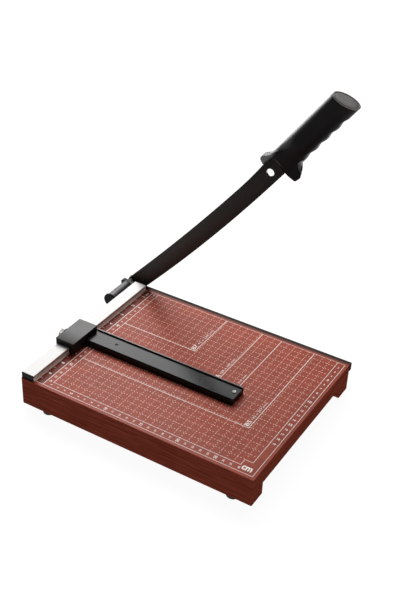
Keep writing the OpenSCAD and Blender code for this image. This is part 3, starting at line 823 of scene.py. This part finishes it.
for k in range(2, 29):                       # front
    big = k % 5 == 0
    ink.word(str(k), 10 * k, 245.3, 3.9 if big else 2.7, bold=0.022 if big else 0.018)
    for v0, v1 in ((240.3, 241.4), (249.0, 250.1)):
        if k < 28:
            ink.along_v(10 * k, v0, v1, 0.34, 0.003)
for k in range(2, 20):                       # right
    big = k % 5 == 0
    ink.word(str(k), 294.9, 10 * k, 4.1 if big else 3.1, turned=False, bold=0.022 if big else 0.018)
    for u0, u1 in ((290.0, 291.1), (298.6, 299.8)):
        ink.along_u(10 * k, u0, u1, 0.34, 0.003)
F = 0.72                                     # paper sizes
ink.along_v(128, 10.4, 91.3, F)
ink.along_u(91, 19.6, 128.3, F)
ink.along_v(182, 10.4, 128, F)
ink.along_v(210, 10.4, 148, F)
ink.along_v(257, 10.4, 182.3, F)
ink.along_u(182, 19.6, 257.3, F)
ink.along_u(128, 19.6, 182.3, F)
ink.along_u(148, 19.6, 210.3, F)
for s, dims, u, v in (("B7", "91 x 128 mm", 128, 91), ("B6", "128 x 182 mm", 182, 128), ("A5", "148 x 210 mm", 210, 148), ("B5", "182 x 257 mm", 257, 182)):
    ink.word(s, u - 4.7, v - 7.3, 5.6, bold=0.012, length=9.6)
    ink.word(dims, u - 4.1, v - 33.5, 2.5, bold=0.0, length=36)
ink.word("cm", 288.7, 242.3, 7.0, turned=False, bold=0.03, length=12.5)
ink.make("board_print", mats["ink"])

grid = Ink(-0.02, 0.015)
for k in range(2, 29):
    y = 10.4
    while y < 240:
        if not (k == 28 and y > 226):
            grid.along_v(10 * k, y + 0.6, min(y + 2.2, 240.1), 0.72, 0.003)
        y += 4.0
for k in range(2, 24):
    x = 20.0
    while x < 289:
        if not (k == 23 and x > 277):
            grid.along_u(10 * k, x + 1.2, min(x + 2.8, 289.8), 0.80)
        x += 4.0
grid.make("board_grid", mats["grid"])

# ---------------------------------------------------------------- base: metal and plastic parts
paint("bed_knife", mats["knife"], 0.25, 3)
paint("bed_knife_screws", mats["screw"], 0.08, 2)
paint("stop_rail", mats["rail"], 0.45, 4)
paint("rail_end_cap", mats["black"], 0.5, 4)
paint("rail_screws", mats["screw"], 0.05, 1)
paint("runner_screws", mats["screw"], 0.1, 2)
paint("rubber_feet", mats["rubber"], 0.5, 4)
paint("foot_screws", mats["screw"], 0.15, 2)
paint("pivot_bracket", mats["bracket"], 0.5, 4)
paint("bracket_screws", mats["screw"], 0.25, 3)
paint("pivot_bolt", mats["bolt"], 0.3, 3)
paint("pivot_washer", mats["bolt"], 0.2, 2)
paint("pivot_spacer", mats["bracket"], 0.2, 2)
paint("spring_seat", mats["screw"], 0.1, 2)
paint("pivot_spring", mats["spring"], 0)
paint("pivot_nut", mats["screw"], 0.2, 2)
paint("spring_housing", mats["housing"], 0.35, 3)
paint("housing_cap", mats["black"], 0.45, 3)

# ---------------------------------------------------------------- blade
E_LOW, E_R, E_CS, B_UP, B_R, B_CS = -17.8, 2947.0, 70.0, 6.35, 3987.0, 46.0
RISE, B_TOP = 240.0, 17.3


def low_w(s):
    return E_LOW + E_R - math.sqrt(E_R ** 2 - (s - E_CS) ** 2)


def up_w(s):
    return min(B_TOP, B_UP + B_R - math.sqrt(B_R ** 2 - (s - B_CS) ** 2) + 5e-6 * max(0, s - RISE) ** 3)


def gp(t, h):
    a = rad(GRIP_ANG)
    return (t * math.cos(a) - h * math.sin(a), t * math.sin(a) + h * math.cos(a))


GH = -24.75
HOLE, HOLE_R = (314.6, 4.6), 5.4


def blade_outline(grind=0.0, grow=0.0):
    R, C = (up_w(0) - low_w(0)) / 2, (up_w(0) + low_w(0)) / 2
    out = [((R + grow) * math.cos(rad(90 + 180 * i / 40)), C + (R + grow) * math.sin(rad(90 + 180 * i / 40))) for i in range(1, 40)]
    for i in range(97):
        s = 338 * i / 96
        k = min(1, max(0, (s - 2) / 12)) * min(1, max(0, (330 - s) / 8))
        out.append((s, low_w(s) - grow + grind * k))
    for c in corners([gp(350, GH - 8 - grow) + (0,), gp(432 + grow, GH - 8 - grow) + (5,), gp(432 + grow, GH + 8 + grow) + (5,), gp(350, GH + 8 + grow) + (0,)], 6):
        out.append(c)
    for i in range(96, -1, -1):
        s = 332 * i / 96
        out.append((s, up_w(s) + grow))
    return out


def loft(name, rings, M):
    """closed shape through rings of equal length, capped at both ends"""
    n = len(rings[0])
    vs = [p for r in rings for p in r]
    fs = [list(range(n))[::-1], [len(vs) - n + i for i in range(n)]]
    for k in range(len(rings) - 1):
        a, b = k * n, (k + 1) * n
        fs += [[a + i, a + (i + 1) % n, b + (i + 1) % n, b + i] for i in range(n)]
    ob = obj_from(name, vs, fs, M)
    outward(ob)
    return ob


def rod(r, x, y, z0, z1, M, n=64):
    return prism("c", [(x + r * math.cos(2 * math.pi * i / n), y + r * math.sin(2 * math.pi * i / n)) for i in range(n)], z0, z1, M)


full, ground = blade_outline(), blade_outline(4.5)
blade = loft("trimmer_blade", [[p + (-2.5,) for p in ground], [p + (-0.5,) for p in full], [p + (0.0,) for p in full]], BLADE)
spool = loft("spool", [[(HOLE[0] + r * math.cos(2 * math.pi * i / 96), HOLE[1] + r * math.sin(2 * math.pi * i / 96), z) for i in range(96)]
                       for z, r in ((-4.0, HOLE_R), (-2.5, HOLE_R), (-1.8, HOLE_R - 0.62), (-0.7, HOLE_R - 0.62), (0.0, HOLE_R), (2.0, HOLE_R))], BLADE)
cut(blade, rod(3.05, 0, 0, -4, 2, BLADE), spool,
    *[rod(2.1, *gp(t, GH), -4, 2, BLADE, 32) for t in (358, 388, 420)])
blade.data.materials.clear()
b = blade.modifiers.new("bevel", "BEVEL")
b.width, b.segments, b.limit_method, b.angle_limit, b.use_clamp_overlap = 0.00022, 2, "ANGLE", rad(60), True
bake(blade)
shade(blade, 35)
bright = []
for f in blade.data.polygons:
    c = f.center * 1000
    grindface = 0.2 < abs(f.normal.z) < 0.97 and f.normal.y < -0.2 and c.z < -0.4 and 12 < c.x < 326 and f.area > 1e-6
    hole = math.hypot(c.x - HOLE[0], c.y - HOLE[1]) < HOLE_R + 0.02 and abs(f.normal.z) < 0.95
    bright.append(1 if grindface else 2 if hole else 0)
put(blade, mats["blade"], "blade_arm", ["cutter_blade"])
blade.data.materials.append(mats["edge"])
blade.data.materials.append(mats["pin"])
blade.data.polygons.foreach_set("material_index", bright)

# ---------------------------------------------------------------- handle
GUARD = corners([(335.4, -5.4, 0), (335.9, -10.8, 5), (338.7, -20.9, 3.0), (349.4, -21.1, 3.6), (354.0, -11.2, 8), (358.6, -4.6, 6),
                 (366, -5.5, 0), (366, 10, 0), (353, 15.5, 0), (345, 20.0, 4), (338, 21.7, 6), (331, 22.8, 6), (322.5, 26.8, 3), (317.2, 26.2, 2.6),
                 (318.2, 17.0, 1.4), (334.2, 17.0, 0)], 6)
GA, GB, MID = 16.3, 11.0, -1.25
CAP_T, CAP_A, CAP_H = 459.3, 17.4, 2.2
CA, SA = math.cos(rad(GRIP_ANG)), math.sin(rad(GRIP_ANG))


def handle_field(x, y, z):
    t, h = x * CA + y * SA, -x * SA + y * CA
    n = z - MID
    p, q = (h - GH), n
    g = np.clip((t - 342) / 38, 0, 1)
    B = 7.5 + (GB - 7.5) * g * g * (3 - 2 * g)
    k0 = np.sqrt((p / GA) ** 2 + (q / B) ** 2) + 1e-9
    k1 = np.sqrt((p / GA ** 2) ** 2 + (q / B ** 2) ** 2) + 1e-9
    grip = smax(k0 * (k0 - 1) / k1, 339.0 - t, 3.0)
    rear = -7.25 + 12.0 * np.clip((-y - 10) / 9.8, 0, 1) ** 1.6
    front = 7.25 - 4.0 * np.clip((y - 17.5) / 9.0, 0, 1) ** 1.5
    plate = smax(poly_sdf(GUARD, x, y), np.maximum((n - front) * 0.8, (rear - n) * 0.8), 1.5)
    f = smin(plate, grip, 4.0)
    for tt in (376, 396.3, 416.6, 436.9):
        f = smax(f, 14 - np.hypot(t - tt, h - (GH - GA - 14 + 1.6)), 1.6)
    e = (t - CAP_T) * math.cos(rad(CAP_A)) + (h - GH) * math.sin(rad(CAP_A))
    f = smax(f, e + CAP_H + 0.12, 0.5)
    return f + 0.42 * np.exp(-(n / 0.55) ** 2)


ZS = 1.6
P, Fq = nets(lambda x, y, z: handle_field(x, y, z / ZS), (312, -28, (MID - 12.3) * ZS), (468, 52, (MID + 12.3) * ZS), 0.9)
P[:, 2] /= ZS
grip = obj_from("grip", P, Fq, BLADE)
outward(grip)
tang = prism("tang", blade_outline(0, 0.1), -2.55, 0.05, BLADE)
shells = []
for side, z0, z1 in (("front", MID + 0.06, 40), ("rear", -40, MID - 0.06)):
    sh = grip.copy()
    sh.data = grip.data.copy()
    sh.name = "grip_" + side
    scene.collection.objects.link(sh)
    half = prism("half", [(280, -60), (500, -60), (500, 90), (280, 90)], z0, z1, BLADE)
    cut(sh, half, op="INTERSECT")
    t2 = tang.copy()
    t2.data = tang.data.copy()
    scene.collection.objects.link(t2)
    tools = [t2]
    if side == "rear":
        tools += [rod(3.3, *gp(t, GH), -20, -6.05, BLADE, 48) for t in (358, 388, 420)]
    cut(sh, *tools)
    sh.data.shade_smooth()
    sh.data.set_sharp_from_angle(angle=rad(48))
    put(sh, mats["handle"], "blade_arm", ["handle_%s_shell" % side])
    shells.append(sh)
bpy.data.objects.remove(grip)
bpy.data.objects.remove(tang)


def cap_ring(d, e, n=96):
    out = []
    for i in range(n):
        a = 2 * math.pi * i / n
        h, z = (GA - d) * math.cos(a), (GB - d) * math.sin(a)
        t = CAP_T + (e - h * math.sin(rad(CAP_A))) / math.cos(rad(CAP_A))
        out.append(gp(t, GH + h) + (MID + z,))
    return out


cap = loft("grip_end_cap", [cap_ring(d, e) for d, e in ((0.25, -CAP_H), (0.05, -CAP_H + 0.2), (0.0, -CAP_H + 0.5), (0.0, -0.75), (0.12, -0.35), (0.4, -0.1),
           (0.85, 0.0), (1.7, 0.0), (1.85, -0.06), (1.95, -0.2), (2.0, -0.4), (2.35, -0.4), (2.45, -0.25), (2.7, -0.18), (6.5, -0.10), (9.0, -0.05))], BLADE)
shade(cap, 35)
put(cap, mats["cap"], "blade_arm", ["handle_end_cap"])
paint("handle_screws", mats["screw"], 0.12, 2)

# ---------------------------------------------------------------- gauge and lock knob
paint("gauge_slider", mats["slider"], 0.45, 4)
paint("gauge_arm", mats["arm"], 0.35, 3)
paint("gauge_arm_screws", mats["screw"], 0.12, 2)
paint("arm_rivet", mats["black"], 0.15, 2)
paint("arm_end_screw", mats["pin"], 0.2, 3)
paint("glide_pads", mats["pad"], 0.2, 2)
paint("lock_screw", mats["chrome"], 0.12, 2)

# ---------------------------------------------------------------- camera, floor and light
cd = bpy.data.cameras.new("camera")
cd.sensor_fit, cd.sensor_width, cd.lens, cd.clip_start, cd.clip_end = "AUTO", 36.0, 62.73, 0.05, 200.0
cam = bpy.data.objects.new("camera", cd)
scene.collection.objects.link(cam)
cam.matrix_world = Matrix(((0.85279839, -0.31705501, 0.41498317, 0.532468), (0.52103313, 0.46254502, -0.71733993, -0.886393),
                           (0.03548782, 0.82796632, 0.55965381, 0.841323), (0, 0, 0, 1)))
scene.camera = cam

fme = bpy.data.meshes.new("floor")
S = 60.0
fme.from_pydata([(-S, -S, 0), (S, -S, 0), (S, S, 0), (-S, S, 0)], [], [(0, 1, 2, 3)])
floor = bpy.data.objects.new("floor", fme)
scene.collection.objects.link(floor)
fm = Mat("floor_white", Roughness=0.9, Specular_IOR_Level=0.0)
fn = fm.noise(fm.scale(fm.obj, (1, 1, 1)), 0.5, 2)
fm.to("Base Color", fm.mix(fn, (0.10, 0.10, 0.10), (0.12, 0.12, 0.12)))
fm.set(Emission_Color=(1, 1, 1, 1), Emission_Strength=0.95)
fme.materials.append(fm.m)


def lamp(name, az, el, dist, w, h, radiance, aim=(0.0, 0.0, 0.05), col=(1, 1, 1)):
    """a soft panel seen from the object at azimuth az and elevation el"""
    d = Vector((math.cos(rad(el)) * math.cos(rad(az)), math.cos(rad(el)) * math.sin(rad(az)), math.sin(rad(el))))
    ld = bpy.data.lights.new(name, "AREA")
    ld.shape, ld.size, ld.size_y = "RECTANGLE", w, h
    ld.energy = radiance * math.pi * w * h
    ld.color = col
    ob = bpy.data.objects.new(name, ld)
    ob.location = Vector(aim) + d * dist
    ob.rotation_euler = (-d).to_track_quat("-Z", "Y").to_euler()
    scene.collection.objects.link(ob)
    return ob


lamp("key_panel", 140, 38, 2.4, 1.72, 1.20, 7.2)
lamp("top_box", 108, 60, 2.6, 1.9, 1.5, 4.7)
lamp("rim_strip", 152, 7, 2.4, 1.9, 0.5, 4.6)
world = bpy.data.worlds.new("world")
world.use_nodes = True
bg = world.node_tree.nodes.get("Background") or world.node_tree.nodes.new("ShaderNodeBackground")
bg.inputs[0].default_value = (1, 1, 1, 1)
bg.inputs[1].default_value = 0.06
scene.world = world
scene.view_settings.view_transform = "Standard"
scene.view_settings.look = "None"
